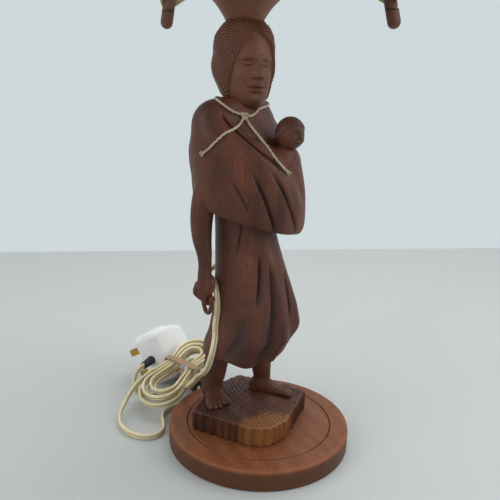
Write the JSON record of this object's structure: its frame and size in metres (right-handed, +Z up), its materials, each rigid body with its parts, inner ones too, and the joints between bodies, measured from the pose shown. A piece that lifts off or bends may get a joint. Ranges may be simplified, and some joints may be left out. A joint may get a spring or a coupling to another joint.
{
  "type": "table lamp",
  "caption": "Table lamp: a carved wooden woman with a child in her wrap carries a turned bowl with lampholder and four-sided parchment shade; flat flex with switch and plug.",
  "frame": {"origin": "centre of the base disc's underside, on the floor", "axes": "+Z up along the upright lamp, +X to the right as pictured, +Y away from the camera"},
  "size_m": [0.241, 0.2543, 0.5198],
  "materials": {
    "disc_wood": "turned, waxed",
    "figure_wood": "hand carved, oiled",
    "bowl_wood": "turned, waxed",
    "stick_wood": "turned, waxed",
    "parchment": "matt, translucent",
    "steel": "zinc plated",
    "brass": "satin",
    "ceramic": "moulded insert",
    "bulb_metal": "satin",
    "bulb_glass": "pearl",
    "string": "twisted cotton",
    "flex": "matt sheath",
    "band": "matt",
    "black_plastic": "moulded",
    "grey_plastic": "moulded",
    "white_plastic": "moulded",
    "black_rubber": "matt"
  },
  "bodies": {
    "stand": {"base_disc": "disc_wood", "base_screws": "steel", "carved_figure": "figure_wood", "bowl": "bowl_wood", "threaded_tube": "brass", "tube_washer": "brass", "tube_nut": "brass", "holder_cap": "brass", "holder_insert": "ceramic", "holder_plungers": "brass", "holder_shell": "brass", "neck_string": "string", "inner_flex": "flex", "flex_drop": "flex", "flex_hank": "flex", "flex_loop": "flex", "flex_tail": "flex", "rubber_band": "band", "switch_lower": "black_plastic", "switch_upper": "black_plastic", "switch_screws": "steel", "plug_base": "white_plastic", "plug_cover": "white_plastic", "plug_pins": "brass", "plug_screw": "steel", "cord_grip": "black_rubber"},
    "shade": {"shade_carrier": "steel", "shade_stick_1": "stick_wood", "shade_stick_2": "stick_wood", "shade_stick_3": "stick_wood", "shade_stick_4": "stick_wood", "shade_panel_1": "parchment", "shade_panel_2": "parchment", "shade_panel_3": "parchment", "shade_panel_4": "parchment", "top_rail_1": "stick_wood", "top_rail_2": "stick_wood", "top_rail_3": "stick_wood", "top_rail_4": "stick_wood"},
    "ring": {"shade_ring": "brass"},
    "bulb": {"bulb_cap": "bulb_metal", "bulb_glass": "bulb_glass"},
    "rocker": {"switch_rocker": "grey_plastic"}
  },
  "joints": [
    {"name": "shade_turn", "type": "hinge", "parent": "stand", "child": "shade", "pos_m": [-0.02, 0, 0.378], "axis": [0, 0, 1], "continuous": true},
    {"name": "ring_turn", "type": "hinge", "parent": "stand", "child": "ring", "pos_m": [-0.02, 0, 0.38], "axis": [0, 0, 1], "continuous": true},
    {"name": "bulb_twist", "type": "hinge", "parent": "stand", "child": "bulb", "pos_m": [-0.02, 0, 0.37], "axis": [0, 0, 1], "range_deg": [0, 20]},
    {"name": "rocker_tilt", "type": "hinge", "parent": "stand", "child": "rocker", "pos_m": [-0.053, 0.087, 0.0103], "axis": [1, 0, 0], "range_deg": [-8, 8]}
  ]
}
